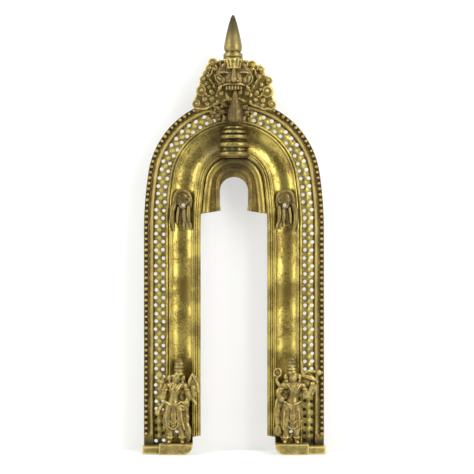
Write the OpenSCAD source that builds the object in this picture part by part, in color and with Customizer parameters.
// Prabhavali: the brass aureole that stands behind a household image.
// It stands on the floor at z = 0, faces -Y and is built about x = 0.
// Depth v is measured from the flat back of the arch towards the viewer, and
// d is the distance inwards from the outer edge of the arch.

/* [Arch] */
// Half of the width over the legs
half_w = 67.9; // [66:0.1:71]
// Radius of the outer edge round the crown
crown_r = 65.3; // [63:0.1:67]
// Height of the crown's centre above the floor
crown_z = 202; // [194:1:228]
// Radius to which a leg is bent where it leans towards the crown
lean_r = 288; // [240:1:360]

/* [Rail and beads] */
// Width of the flat outer rail
rail_w = 7; // [6.6:0.1:8]
// Thickness of the outer rail
rail_t = 3; // [2.6:0.1:3.6]
// Radius of the rib along the rail
rail_rib_r = 1.1; // [0.8:0.05:1.2]
// Diameter of one bead
bead_d = 3.4; // [2.6:0.1:3.6]
// Distance from bead to bead
bead_pitch = 4.2; // [3.9:0.1:6]

/* [Pierced strip] */
// Width of the strip that shows between rail and moulding
strip_w = 9.4; // [8.6:0.1:11]
// Thickness of the strip
strip_t = 1.6; // [1.2:0.1:1.8]
// Lap of the strip behind its neighbours
lap = 1.2; // [0.8:0.1:1.6]
// Diameter of a drilled hole
hole_d = 2.7; // [1.8:0.1:3]
// Distance from hole to hole along a row
hole_pitch = 6; // [5:0.1:9]
// Distance between the two rows of holes
row_gap = 5.5; // [4.6:0.1:6]
// How far the hand-drilled holes wander off their marks
drill_wander = 0.35; // [0:0.05:0.4]
// Thickness left behind the lowest holes, which are not drilled through
blind_web = 0.4; // [0.2:0.1:0.8]

/* [Moulding] */
// Thickness of the moulding at its flanges
flange_t = 5; // [4.4:0.1:6]
// Width of the flange that carries the two ribs
rib_band = 4.5; // [4.2:0.1:5.5]
// Radius of a rib
rib_r = 0.9; // [0.6:0.05:0.9]
// Width of the hollow cove
cove_w = 15.9; // [14:0.1:17]
// Depth of the cove
cove_depth = 3.1; // [2:0.1:3.4]
// Width of the flange that carries the reeds
reed_band = 5.9; // [5.6:0.1:7]
// Radius of a reed
reed_r = 0.75; // [0.5:0.05:0.8]

/* [Hood] */
// Width of the hood's band between the moulding and the opening
hood_w = 11.9; // [11:0.1:13]
// Height of the hood's lower ends above the floor
hood_z = 180.5; // [176:0.5:186]
// Rise of the hood's lower ends towards the opening
end_rise = 2.2; // [1:0.1:3]
// How far the opening's round head sits below the crown's centre
opening_drop = 4.4; // [3:0.1:6]
// Thickness of the hood plate
hood_t = 3; // [2.4:0.1:3.4]
// Width of the roll on the hood
roll_w = 6.4; // [5:0.1:7]
// Height of the roll above the hood plate
roll_h = 2.4; // [1.5:0.1:2.6]
// Radius of the half-round rim at the opening
rim_r = 1.5; // [1:0.1:1.7]

/* [Crest] */
// Height of the crest above the outer edge of the crown
crest_h = 29.4; // [28.5:0.1:32]
// Half of the angle that the crest takes from the beaded edge
crest_angle = 27; // [25:0.5:30]
// Radius of the round stem in a curl
curl_t = 1.1; // [0.8:0.05:1.2]
// Reach of the mask in front of its seat
mask_reach = 13; // [11:0.5:15]

/* [Finial and parasol] */
// Radius of the finial's collar
collar_r = 7.6; // [7:0.1:8]
// Height of the collar
collar_h = 4.6; // [4:0.1:6]
// Radius of the spire at its widest
spire_r = 6.85; // [6:0.05:7]
// Height of the spire above the collar
spire_h = 28.7; // [24:0.1:34]
// Radius of the parasol at its middle ring
parasol_r = 12.7; // [11.5:0.1:14]
// Height of the parasol
parasol_h = 24.5; // [23:0.1:26]

/* [Brackets and attendants] */
// Height of a bracket's through hole above the floor
bracket_z = 187; // [182:0.5:190]
// Diameter of the through hole in a bracket
bracket_hole_d = 2.8; // [2:0.1:3]
// Distance of an attendant inwards from the outer edge of the arch
attendant_d = 24.9; // [24:0.1:26]
// Height of an attendant without its plinth
attendant_h = 65; // [60:0.5:70]

/* [Feet] */
// Height of a foot
foot_h = 6; // [5:0.1:8]
// Depth of a foot from back to front
foot_depth = 13; // [12:0.5:16]
// How far a foot stands out past the leg
foot_over = 1.1; // [0.6:0.1:2]
// Reach of the plinth in front of the foot
plinth_reach = 4; // [3:0.5:6]
// Height of the plinth's step above the foot
step_h = 2; // [1:0.1:3]
// Diameter of the pin hole through a leg
pin_d = 3; // [2.4:0.1:3.4]
// Height of the pin hole above the floor
pin_z = 16.2; // [14:0.2:18]

/* [Hidden] */
$fn = 48;
fine = 360;
gap = 0.05;
// Angle that the brazed joint between a leg and the crown takes up
joint_turn = 0.05;
// Facets round a modelled limb
limb_fn = 12;

// A crown that is wider than the legs makes them flare instead of lean
flare = crown_r > half_w;
bend_r = flare ? -lean_r : lean_r;
// Angle on the crown's circle at which a leg meets it
spring_angle = (flare ? -1 : 1) * acos((bend_r - half_w) / (bend_r - crown_r));
lean_z = crown_z - (bend_r - crown_r) * sin(spring_angle);
apex_z = crown_z + crown_r;

strip_mid = rail_w + strip_w / 2;
strip_out = rail_w + strip_w;
cove_in = strip_out + rib_band;
cove_out = cove_in + cove_w;
frame_in = cove_out + reed_band;
cove_r = (pow(cove_w / 2, 2) + pow(cove_depth, 2)) / (2 * cove_depth);
cove_mid = (cove_in + cove_out) / 2;
cove_floor = flange_t - cove_depth;
rib_pitch = 2.3;
reed_pitch = 1.65;

// Seat of everything that stands in front of the moulding
seat_v = flange_t + max(rib_r, reed_r) + 0.3;
// The beads, the rail's rib and the reeds stop above the feet
mould_z = foot_h + 7;
inner_end_z = foot_h + 7;
// Below these heights the holes of the strips are blind
blind_z_left = foot_h + 27;
blind_z_right = foot_h + 38;

// Length along the strip's middle from the foot to the joint below the crown
side_len = leg_len(foot_h) + lean_len(strip_mid);

// Lobes of the crest's right edge: x, height above the crown's edge, radius
lobes = [
  [15.8, crest_h - 2.3, 3.8],
  [20.2, crest_h - 6.3, 3.4],
  [25.0, crest_h - 14.8, 3.6],
  [24.6, crest_h - 24.4, 5.6],
  [27.6, crest_h - 33.6, 4.4]
];

crest_top = apex_z + crest_h;
finial_v = 8;
tang_r = 2;
tang_depth = 6;
boss_h = tang_depth + 1.5;

parasol_v = seat_v + 3;
parasol_drop = 8.5;
parasol_z = apex_z - cove_out - parasol_drop;
snout_z = parasol_z + parasol_h + 0.3;
opening_r = crown_r - frame_in - hood_w;
opening_z = crown_z - opening_drop;
hood_roll_d = frame_in + roll_w / 2 + 0.3;
roll_r = (pow(roll_w / 2, 2) + pow(roll_h, 2)) / (2 * roll_h);

bracket_x = side_x(bracket_z, cove_mid);
attendant_x = half_w - attendant_d;
foot_out = half_w + foot_over;
plinth_in = half_w - cove_out - 0.2;
// The foot ends behind the plinth's rounded corner
foot_in = plinth_in + 4.5;
plinth_out = attendant_x + 12.9;
plinth_z = foot_h + step_h;

rivet_r = 1;
rivet_head_r = 2;
rivet_head_h = 0.9;
rivet_bite = 3;
dowel_r = 0.9;
dowel_bite = 4.5;
crest_rivet_turns = [-21, -9, 9, 21];
parasol_rivet_z = apex_z - cove_mid;
attendant_rivet = [half_w - cove_mid + 1.6, foot_h + 32];
mask_rivet = [7, apex_z + 11];

front_v = max(parasol_v + parasol_r, seat_v + mask_reach, foot_depth + plinth_reach);
back_y = (front_v - rivet_head_h) / 2;

// Places on the arch

// Point [x, z] at offset d, square to the length s along the right half's offset line
function leg_len(z0) = lean_z - z0;
function lean_len(d) = (bend_r - d) * spring_angle * PI / 180;
function crown_angle(s, d, z0) =
  spring_angle + (s - leg_len(z0) - lean_len(d)) / (crown_r - d) * 180 / PI;
function lean_turn(s, d, z0) = (s - leg_len(z0)) / (bend_r - d) * 180 / PI;
function on_leg(s, d, z0) = [half_w - d, z0 + s];
function on_lean(a, d) =
  [half_w - bend_r + (bend_r - d) * cos(a), lean_z + (bend_r - d) * sin(a)];
function on_crown(a, d) = [(crown_r - d) * cos(a), crown_z + (crown_r - d) * sin(a)];
function on_arch(s, d, z0, line) =
  s < leg_len(z0) ? on_leg(s, d, z0)
  : s < leg_len(z0) + lean_len(line) ? on_lean(lean_turn(s, line, z0), d)
  : on_crown(crown_angle(s, line, z0), d);
// Length of the right half from height z0 to the angle a on the crown
function arch_len(a, d, z0) =
  leg_len(z0) + lean_len(d) + (crown_r - d) * (a - spring_angle) * PI / 180;
// Distance from the middle to the right side's offset line d at height z
function side_x(z, d) =
  z < lean_z ? half_w - d
  : half_w - bend_r + (flare ? -1 : 1) * sqrt(pow(bend_r - d, 2) - pow(z - lean_z, 2));

// Movers

module at(x, v, z) {
  translate([x, back_y - v, z]) children();
}

module both() {
  children();
  mirror([1, 0, 0]) children();
}

// An outline drawn in x and z, raised from depth v by the height h
module raised(v, h) {
  at(0, v, 0) rotate([90, 0, 0]) linear_extrude(h) children();
}

// A round hole or pin along the depth
module pin(x, z, r, v0, v1) {
  at(x, v0, z) rotate([90, 0, 0]) cylinder(r = r, h = v1 - v0);
}

// Everything behind the depth v
module behind(v) {
  at(-100, v, -10) cube([200, 60, 400]);
}

// Everything below the height z, in front of the back
module below(z) {
  at(-100, 60, z - 20) cube([200, 60, 20]);
}

// A section drawn in d and v, carried along one stretch of the arch
module leg_run(z0) {
  at(0, 0, z0) linear_extrude(lean_z - z0) translate([half_w, 0]) rotate(180) children();
}

module lean_run() {
  turn = abs(spring_angle);
  at(half_w - bend_r, 0, lean_z) rotate([90, 0, 0])
    rotate_extrude(angle = turn, start = flare ? 180 - turn : 0, $fn = fine)
      translate([lean_r, 0]) mirror([flare ? 0 : 1, 0]) children();
}

module crown_run(a0, a1) {
  at(0, 0, crown_z) rotate([90, 0, 0])
    rotate_extrude(angle = a1 - a0, start = a0, $fn = fine)
      translate([crown_r, 0]) mirror([1, 0]) children();
}

// A whole leg, from height z0 up to the brazed joint below the crown
module side_run(z0) {
  leg_run(z0) children();
  lean_run() children();
}

// The crown between its two brazed joints
module top_run() {
  crown_run(spring_angle + joint_turn, 180 - spring_angle - joint_turn) children();
}

// Rail, beads and pierced strips

module rail_section() {
  difference() {
    union() {
      square([rail_w, rail_t]);
      translate([rail_w - 1.2, rail_t]) circle(rail_rib_r, $fn = 32);
    }
    translate([rail_w - lap, -1]) square([2 * lap, strip_t + 1]);
  }
}

module rail_right() {
  color("darkgoldenrod") difference() {
    side_run(foot_h) rail_section();
    at(-100, 20, foot_h - 1) cube([200, 20 - rail_t, mould_z - foot_h + 1]);
    dowel_pair(dowel_r + gap, dowel_bite + gap);
  }
}

module rail_left() {
  mirror([1, 0, 0]) rail_right();
}

module rail_crown() {
  color("darkgoldenrod") difference() {
    top_run() rail_section();
    for (a = crest_rivet_turns) {
      p = on_crown(90 + a, bead_d / 2);
      pin(p[0], p[1], rivet_r + gap, -1, rail_t + 3);
    }
  }
}

// One bead, cut flat where it is soldered to the rail
module bead() {
  rise = 0.4;
  rotate([90, 0, 0]) rotate_extrude() intersection() {
    translate([0, rise]) circle(bead_d / 2);
    square(bead_d);
  }
}

module beaded_edge_right() {
  run = arch_len(90 - crest_angle, bead_d / 2, mould_z);
  joint = arch_len(spring_angle, bead_d / 2, mould_z);
  core = bead_d * 0.3;
  color("goldenrod") {
    translate([0, -rail_t, 0]) {
      side_run(mould_z) bead_wire(core);
      crown_run(spring_angle + joint_turn, 90 - crest_angle) bead_wire(core);
    }
    // One bead covers the brazed joint, and the others are counted from it
    for (i = [ceil(0.5 - joint / bead_pitch) : floor((run - joint) / bead_pitch - 0.5)]) {
      p = on_arch(joint + i * bead_pitch, bead_d / 2, mould_z, bead_d / 2);
      at(p[0], rail_t, p[1]) bead();
    }
  }
}

// The thin wire that joins the beads
module bead_wire(w) {
  translate([(bead_d - w) / 2, 0]) square([w, w]);
}

module beaded_edge_left() {
  mirror([1, 0, 0]) beaded_edge_right();
}

module strip_section() {
  translate([rail_w - lap + gap, 0]) square([strip_w + 2 * (lap - gap), strip_t - gap]);
}

// Holes of both rows between two lengths along the right half of the arch.
// Those between the heights blind_from and blind_z don't go through.
module hole_pairs(s0, s1, seed, blind_from = 0, blind_z = 0) {
  count = floor((s1 - s0) / hole_pitch);
  for (i = [0 : count - 1], row = [-1, 1]) {
    s = s0 + (i + 0.5) * (s1 - s0) / count + drill_wander * sin(i * 131 + row * 67 + seed);
    d = strip_mid + row * row_gap / 2 + drill_wander * sin(i * 97 + row * 41 + seed);
    p = on_arch(s, d, foot_h, strip_mid);
    pin(p[0], p[1], hole_d / 2, p[1] > blind_from && p[1] < blind_z ? blind_web : -1, strip_t + 1);
  }
}

module pierced_strip_right() {
  color("olive") difference() {
    side_run(foot_h) strip_section();
    hole_pairs(0, side_len, 20, 0, blind_z_right);
  }
}

module pierced_strip_left() {
  color("olive") mirror([1, 0, 0]) difference() {
    side_run(foot_h) strip_section();
    hole_pairs(0, side_len, 50, mould_z, blind_z_left);
  }
}

module pierced_strip_crown() {
  half_len = arch_len(90, strip_mid, foot_h);
  color("olive") difference() {
    top_run() strip_section();
    hole_pairs(side_len, half_len, 80);
    mirror([1, 0, 0]) hole_pairs(side_len, half_len, 140);
  }
}

// Moulding and hood

module frame_section() {
  difference() {
    union() {
      translate([strip_out, 0]) square([frame_in - strip_out, flange_t]);
      for (i = [0, 1]) {
        translate([strip_out + 1 + i * rib_pitch, flange_t]) circle(rib_r, $fn = 32);
      }
      for (i = [0 : 2]) {
        translate([cove_out + 1.2 + i * reed_pitch, flange_t]) circle(reed_r, $fn = 32);
      }
    }
    translate([cove_mid, cove_floor + cove_r]) circle(cove_r, $fn = 96);
    translate([strip_out - lap, -1]) square([2 * lap, strip_t + 1]);
  }
}

module moulding_right() {
  inner = half_w - cove_out;
  color("gold") difference() {
    side_run(foot_h) frame_section();
    at(0, 20, foot_h - 1) cube([inner, 40, inner_end_z - foot_h + 1]);
    // Rebate for the hood plate
    raised(-1, hood_t + 1 + gap) hood_outline(frame_in - lap, hood_z - gap);
    pin(attendant_x, pin_z, pin_d / 2, -1, 20);
    pin(bracket_x, bracket_z, bracket_hole_d / 2, -1, 20);
    pin(attendant_rivet[0], attendant_rivet[1], rivet_r + gap, -1, 20);
    dowel_pair(dowel_r + gap, dowel_bite + gap);
  }
}

module moulding_left() {
  mirror([1, 0, 0]) moulding_right();
}

module moulding_crown() {
  color("gold") difference() {
    top_run() difference() {
      frame_section();
      translate([frame_in - lap, -1]) square([2 * lap, hood_t + 1 + gap]);
    }
    pin(0, parasol_rivet_z, rivet_r + gap, -1, 20);
  }
}

// Everything inside the offset line d, down to the height z0
module hood_outline(d, z0) {
  steps = 24;
  joint_z = on_crown(spring_angle, d)[1];
  side = [for (i = [0 : 4]) let (z = z0 + (joint_z - z0) * i / 5) [side_x(z, d), z]];
  polygon(concat(
    side,
    [for (i = [0 : steps]) on_crown(spring_angle + (180 - 2 * spring_angle) * i / steps, d)],
    [for (i = [4 : -1 : 0]) [-side[i][0], side[i][1]]]
  ));
}

// The hood plate is let into the back of the moulding
module crown_hood() {
  outer = side_x(hood_z, frame_in);
  color("khaki") raised(0, hood_t) difference() {
    hood_outline(frame_in - lap + gap, hood_z);
    translate([0, opening_z]) circle(opening_r, $fn = 96);
    translate([-opening_r, hood_z - 5]) square([2 * opening_r, opening_z - hood_z + 5]);
    // The lower ends slope up to the opening
    polygon([
      [-outer, hood_z - 1], [outer, hood_z - 1], [outer, hood_z],
      [opening_r, hood_z + end_rise], [-opening_r, hood_z + end_rise], [-outer, hood_z]
    ]);
  }
}

module roll_section() {
  intersection() {
    translate([hood_roll_d, hood_t + roll_h - roll_r]) circle(roll_r, $fn = 64);
    translate([0, hood_t]) square([half_w, roll_h + 1]);
  }
}

// Half-round roll on the hood, in three lengths
module hood_roll() {
  color("wheat") {
    both() intersection() {
      side_run(foot_h) roll_section();
      at(0, 20, hood_z + end_rise / 2) cube([half_w, 20, crown_z]);
    }
    top_run() roll_section();
  }
}

// Half-round moulding round the edge of the opening
module rim_section() {
  intersection() {
    translate([opening_r + rim_r + 0.1, 0]) circle(rim_r);
    square([2 * half_w, 2 * rim_r]);
  }
}

module hood_rim() {
  rim_z = hood_z + end_rise;
  color("tan") {
    at(0, hood_t, crown_z) rotate([90, 0, 0]) rotate_extrude(angle = 180, $fn = 96) rim_section();
    both() at(0, hood_t, rim_z) linear_extrude(crown_z - rim_z) mirror([0, 1]) rim_section();
  }
}

// Crest, mask and finial

module crest_outline() {
  difference() {
    union() {
      for (side = [-1, 1], lobe = lobes) {
        translate([side * lobe[0], apex_z + lobe[1]]) circle(lobe[2]);
      }
      polygon(concat(
        [for (lobe = lobes) [lobe[0], apex_z + lobe[1]]],
        [[20, apex_z - 16], [-20, apex_z - 16]],
        [for (i = [len(lobes) - 1 : -1 : 0]) [-lobes[i][0], apex_z + lobes[i][1]]]
      ));
    }
    translate([0, crown_z]) circle(crown_r - bead_d - 0.2, $fn = fine);
  }
}

module crest_plate() {
  color("peru") difference() {
    union() {
      raised(rail_t, seat_v - rail_t) crest_outline();
      difference() {
        at(0, finial_v, crest_top - boss_h) cylinder(r1 = 4.8, r2 = 6.4, h = boss_h);
        behind(rail_t);
      }
    }
    at(0, finial_v, crest_top - tang_depth - 0.5) cylinder(r = tang_r + gap, h = tang_depth + 2);
    for (a = crest_rivet_turns) {
      p = on_crown(90 + a, bead_d / 2);
      pin(p[0], p[1], rivet_r + gap, rail_t - 1, seat_v + 1);
    }
    both() pin(mask_rivet[0], mask_rivet[1], rivet_r + gap, rail_t - 1, seat_v + 1);
  }
}

// Half-round stem bent to an arc in the crest's plane
module stem(r, a0, turn) {
  rotate([90, 0, 0]) rotate_extrude(angle = turn, start = a0) intersection() {
    translate([r, 0]) circle(curl_t, $fn = 24);
    square([2 * r, curl_t]);
  }
}

// A volute of three half turns that closes on a boss
module volute(r) {
  r2 = 0.66 * r;
  r3 = 0.36 * r;
  stem(r, 0, 180);
  translate([r2 - r, 0, 0]) stem(r2, 180, 180);
  translate([2 * r2 - r - r3, 0, 0]) stem(r3, 0, 180);
  translate([2 * r2 - r - 2 * r3, 0, 0]) rotate([90, 0, 0]) rotate_extrude() intersection() {
    circle(1.5 * curl_t);
    square(3 * curl_t);
  }
}

module crest_curls_right() {
  // Turn of each volute about its lobe
  turns = [70, 30, 10, -20, -40];
  color("sandybrown") {
    for (i = [0 : len(lobes) - 1]) {
      at(lobes[i][0], seat_v, apex_z + lobes[i][1])
        rotate([0, -turns[i], 0]) volute(lobes[i][2] - curl_t);
    }
    // Fronds that run from the mask to the curls
    for (i = [0 : 2]) {
      at(17.2 + 0.6 * i, seat_v, apex_z + 1 + 7.6 * i) rotate([0, 8 * i, 0]) stem(4.2, 40, 200);
    }
  }
}

module crest_curls_left() {
  mirror([1, 0, 0]) crest_curls_right();
}

module kirtimukha_mask() {
  v = seat_v;
  z = apex_z;
  face_r = 12;
  nose_r = 3.4;
  color("chocolate") difference() {
    union() {
      at(0, v - 4, z + 9.5) sphere(face_r);
      // Muzzle, nose and the drop that hangs from the mouth
      at(0, v + 2.5, z + 3.5) sphere(face_r / 2);
      at(0, v + mask_reach - nose_r, z + 5.4) sphere(nose_r);
      at(0, v + 1.2, snout_z) cylinder(r1 = 6.3, r2 = 2.8, h = z - snout_z);
      both() {
        // Eye, brow, cheek and fang
        at(10.6, v + 1.6, z + 13.4) sphere(3.4);
        at(6.2, v + 5, z + 14.5) rotate([90, 0, -14]) rotate_extrude(angle = 140, start = 0)
          translate([4.5, 0]) circle(1.25, $fn = 24);
        at(7.4, v + 1, z + 2.2) sphere(5.1);
        at(4.4, v + 5, z - 7.5) cylinder(r1 = 0.4, r2 = 1.6, h = 9);
      }
    }
    behind(v);
    both() pin(mask_rivet[0], mask_rivet[1], rivet_r + gap, v - 1, v + rivet_bite + gap);
  }
}

module finial_collar() {
  color("gold") at(0, finial_v, crest_top) difference() {
    rotate_extrude() {
      square([collar_r - 1, collar_h]);
      translate([collar_r - 1.2, 1.3]) circle(1.2);
      translate([0, collar_h - 1.4]) square([collar_r - 0.5, 0.9]);
    }
    translate([0, 0, -1]) cylinder(r = tang_r + gap, h = collar_h + 2);
  }
}

// The spire is turned: a short foot, a swelling and a cone with a blunt tip
module finial_spire() {
  swell = 4;
  tip_r = 0.95;
  cone = [for (i = [0 : 14])
    let (t = 1 - pow(1 - i / 14, 1.5))
      [(spire_r + (tip_r - spire_r) * t) * sqrt(1 - pow(t, 26)), swell + t * (spire_h - swell)]];
  color("gold") at(0, finial_v, crest_top + collar_h) {
    rotate_extrude() polygon(concat(
      [[0, -collar_h - tang_depth], [tang_r, -collar_h - tang_depth], [tang_r, 0]],
      [[spire_r - 1.6, 0], [spire_r - 1.6, 1.2], [spire_r - 0.5, 2]],
      cone
    ));
  }
}

module parasol_section() {
  // Rings of the parasol: height as a share, distance from the widest, radius
  rings = [[0.12, 0.4, 2], [0.4, 0, 2.2], [0.64, 1.9, 1.9], [0.8, 3.4, 1.5], [0.93, 5, 1.2]];
  for (ring = rings) {
    reach = parasol_r - ring[1] - ring[2];
    square([reach, ring[0] * parasol_h + 0.8 * ring[2]]);
    translate([reach, ring[0] * parasol_h]) circle(ring[2]);
  }
  square([3, parasol_h]);
}

// Half round in front, with a straight back that stands on the moulding
module parasol() {
  back = parasol_v - seat_v;
  color("darkkhaki") difference() {
    at(0, parasol_v, parasol_z) {
      rotate_extrude(angle = 180, start = 180) parasol_section();
      translate([0, back, 0]) rotate([90, 0, 0]) linear_extrude(back) {
        parasol_section();
        mirror([1, 0]) parasol_section();
      }
    }
    pin(0, parasol_rivet_z, rivet_r + gap, seat_v - 1, seat_v + rivet_bite + gap);
  }
}

// Brackets and attendants

// A tapering limb between two points [x, forward, z, radius] in front of the seat
module limb(a, b) {
  hull() {
    for (p = [a, b]) {
      translate([p[0], -p[1], p[2]]) sphere(p[3], $fn = limb_fn);
    }
  }
}

// A bent limb through a row of such points
module bent(points) {
  for (i = [0 : len(points) - 2]) {
    limb(points[i], points[i + 1]);
  }
}

// Root of a bracket: fills the cove and follows its lean
module cove_root() {
  intersection() {
    side_run(foot_h) intersection() {
      translate([cove_mid, cove_floor + cove_r]) circle(cove_r - gap, $fn = 64);
      translate([cove_mid - cove_w / 3, 0]) square([2 * cove_w / 3, flange_t + 0.5]);
    }
    at(0, 20, bracket_z - 14) cube([half_w, 20, 21]);
  }
}

module bracket_right() {
  color("darkolivegreen") difference() {
    union() {
      cove_root();
      difference() {
        at(bracket_x, flange_t, bracket_z) {
          // Rounded head
          bent([
            [-5, 0.4, 2, 2], [-3.6, 1, 7.4, 2.2], [0.2, 1.2, 9, 2.2],
            [4, 1, 6.6, 2.2], [5.4, 0.4, 1, 2]
          ]);
          limb([-3, 0.6, 2, 2.6], [3, 0.6, 2, 2.6]);
          // Outer lappet
          bent([[5.2, 0.6, 3, 2.2], [6.4, 1.4, -5, 2.3], [7, 1, -12, 1.9], [6.2, 0.2, -19, 0.8]]);
          // Inner lappet, which ends in three toes
          bent([[-4.6, 0.6, 3, 2.2], [-3.6, 1.4, -6, 2.7], [-2.8, 1.4, -11, 2.7]]);
          for (toe = [-5.3, -2.7, 0]) {
            limb([-2.8, 1.4, -11, 2.4], [toe, 0.9, -17, 1.3]);
          }
        }
        behind(flange_t);
      }
    }
    pin(bracket_x, bracket_z, bracket_hole_d / 2 + 0.15, -1, 30, $fn = 24);
  }
}

module bracket_left() {
  mirror([1, 0, 0]) bracket_right();
}

// Body of an attendant in high relief, drawn 65 high about x = 0 above its plinth.
// The outer side is at +x, and the four values set how far each part sways that way.
module attendant_body(hips, waist, chest, head) {
  for (side = [-1, 1]) {
    // Foot, leg and thigh under the skirt
    bent([
      [side * 6, 5.4, 1.3, 1.3], [side * 4.9, 2, 1.8, 1.9],
      [side * 4.8, 2.2, 11, 2.7], [hips + side * 3.2, 2.4, 26, 4.5]
    ]);
    // Sash that flares from the hip
    bent([
      [hips + side * 6.2, 1.6, 27, 2], [hips + side * 8.4, 1.2, 19, 2.2],
      [hips / 2 + side * 10, 0.8, 11.5, 1.5]
    ]);
    // Ear ornament
    limb([head + side * 3.4, 2.6, 50, 1.2], [head + side * 3.8, 2.4, 46.8, 1.4]);
  }
  // Hips, belly, chest and shoulders
  limb([hips - 3, 2.4, 27.5, 4.6], [hips + 3, 2.4, 27.5, 4.6]);
  bent([[hips, 2.8, 28, 4.4], [waist, 2.7, 34, 3.7], [chest, 3.2, 40.4, 4.8]]);
  limb([chest - 6, 2.6, 41.8, 2.6], [chest + 6, 2.6, 41.8, 2.6]);
  // Pleats that hang between the legs
  limb([hips, 5.6, 25, 1.9], [hips / 2, 4, 14, 1.4]);
  // Neck and head
  bent([[(chest + head) / 2, 2.6, 43.6, 2.4], [head, 3.4, 47.6, 2.7], [head, 3.8, 51, 3.6]]);
  // Tall crown
  bent([[head, 3.2, 53.6, 3.9], [head - 0.4, 3, 58, 3], [head - 0.9, 2.6, 63.9, 1.1]]);
}

// The left attendant raises a flower, and a leaf stands behind the inner shoulder
module attendant_left() {
  color("darkgoldenrod") mirror([1, 0, 0]) attendant_seated() {
    attendant_body(1.4, 1.9, 1.2, -0.4);
    // Raised arm with the flower
    bent([[7.4, 2.6, 41.6, 2.3], [9.2, 2.8, 35.4, 2], [11.4, 3, 43, 1.7], [12.1, 3, 52, 2.3]]);
    // End of the scarf
    bent([[8.6, 2.2, 32.6, 1.4], [12, 1.8, 29.4, 1.5], [14.2, 1.6, 24, 2.1]]);
    // Hanging arm and the scarf below it
    bent([[-5.2, 2.6, 41.4, 2.3], [-8.6, 2.8, 34.6, 2.1], [-9.8, 2.6, 28.2, 1.9], [-11.2, 1.6, 24, 1.3]]);
    // Leaf
    bent([[-8.8, 1.2, 43.6, 1.5], [-13.8, 1.2, 43.4, 1.5], [-11.4, 1.2, 52, 0.9], [-8.8, 1.2, 43.6, 1.5]]);
    limb([-5, 2, 42, 1.6], [-11.3, 1.2, 45.6, 2.4]);
  }
}

// The right attendant carries a staff that curls outwards and holds up a mirror
module attendant_right() {
  color("darkgoldenrod") attendant_seated() {
    attendant_body(-0.8, 1.8, 2.6, 1.2);
    // Bent arm and the staff in its hand
    bent([[8.6, 2.6, 41.4, 2.3], [12.4, 2.8, 37, 2], [13.4, 3, 43.6, 1.8]]);
    bent([[7.4, 2.8, 51.6, 1.2], [12.7, 3, 47.4, 1.8], [18.6, 1.6, 46, 1.4], [20.8, 1.4, 52.6, 2]]);
    // Scarf round the arm
    bent([[11, 2.2, 36, 1.7], [15, 1.7, 38, 1.7], [18.7, 1.4, 45, 1.4]]);
    // Inner arm with the hand on the hip, and the scarf below it
    bent([[-3.6, 2.6, 41.6, 2.3], [-8.4, 2.8, 36, 2], [-5.6, 4, 30.4, 1.9]]);
    limb([-8.4, 2, 35, 1.7], [-11.2, 1.4, 22, 1.4]);
    // Mirror and its handle
    limb([-10.4, 0.9, 50.6, 3], [-10.4, 0.9, 53.6, 3]);
    limb([-9.4, 1.6, 48, 1.3], [-4.4, 2.4, 42.6, 1.5]);
  }
}

// An attendant in its place: cut flat behind and below, with the rivet's hole in its back
module attendant_seated() {
  difference() {
    at(attendant_x, seat_v, plinth_z) scale(attendant_h / 65) children();
    behind(seat_v);
    below(plinth_z);
    pin(attendant_rivet[0], attendant_rivet[1], rivet_r + 0.1, seat_v - 1, seat_v + rivet_bite + 0.1);
  }
}

// Feet

// Outline of the plinth: square at its outer end, round at its inner end
module plinth_outline(h) {
  r = 7;
  difference() {
    translate([plinth_in, 0]) square([plinth_out - plinth_in, h]);
    difference() {
      translate([plinth_in - 1, -1]) square([r + 1, r + 1]);
      translate([plinth_in + r, r]) circle(r);
    }
  }
}

module plinth_right() {
  color("burlywood") difference() {
    raised(seat_v, foot_depth + plinth_reach - seat_v) plinth_outline(plinth_z);
    at(0, foot_depth + gap, -1) cube([100, foot_depth, foot_h + 1 + gap]);
  }
}

module plinth_left() {
  mirror([1, 0, 0]) plinth_right();
}

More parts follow.
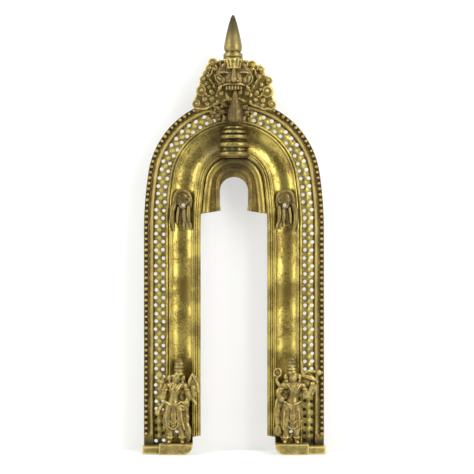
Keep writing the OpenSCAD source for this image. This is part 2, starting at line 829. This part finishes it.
module foot_right() {
  color("orange") difference() {
    at(foot_in, foot_depth, 0) cube([foot_out - foot_in, foot_depth, foot_h]);
    dowel_pair(dowel_r + gap, dowel_bite + gap);
  }
}

module foot_left() {
  mirror([1, 0, 0]) foot_right();
}

// Dowels that pin the rail and the moulding to a foot
module dowel_pair(r, bite) {
  at(half_w - 2.6, rail_t / 2, foot_h - bite) cylinder(r = r, h = 2 * bite);
  at(half_w - cove_in + 1.8, 2.8, foot_h - bite) cylinder(r = r, h = 2 * bite);
}

module foot_dowels() {
  color("brown") both() dowel_pair(dowel_r, dowel_bite - 0.1);
}

// Rivets

// A rivet with a domed head behind depth v and a shank forward to depth tip
module rivet(x, z, v, tip) {
  dome_r = (pow(rivet_head_r, 2) + pow(rivet_head_h, 2)) / (2 * rivet_head_h);
  at(x, v, z) rotate([90, 0, 0]) rotate_extrude() {
    square([rivet_r, tip - v]);
    intersection() {
      translate([0, dome_r - rivet_head_h]) circle(dome_r);
      translate([0, -rivet_head_h]) square([rivet_head_r, rivet_head_h]);
    }
  }
}

module crest_rivets() {
  color("brown") for (a = crest_rivet_turns) {
    p = on_crown(90 + a, bead_d / 2);
    rivet(p[0], p[1], 0, seat_v - gap);
  }
}

module mask_rivets() {
  color("brown") both() rivet(mask_rivet[0], mask_rivet[1], rail_t, seat_v + rivet_bite);
}

module parasol_rivet() {
  color("brown") rivet(0, parasol_rivet_z, 0, seat_v + rivet_bite);
}

module attendant_rivets() {
  color("brown") both() rivet(attendant_rivet[0], attendant_rivet[1], 0, seat_v + rivet_bite);
}

rail_left();
rail_crown();
rail_right();
beaded_edge_left();
beaded_edge_right();
pierced_strip_left();
pierced_strip_crown();
pierced_strip_right();
moulding_left();
moulding_crown();
moulding_right();
crown_hood();
hood_roll();
hood_rim();
crest_plate();
crest_curls_left();
crest_curls_right();
kirtimukha_mask();
finial_collar();
finial_spire();
parasol();
bracket_left();
bracket_right();
attendant_left();
attendant_right();
plinth_left();
plinth_right();
foot_left();
foot_right();
foot_dowels();
crest_rivets();
mask_rivets();
parasol_rivet();
attendant_rivets();
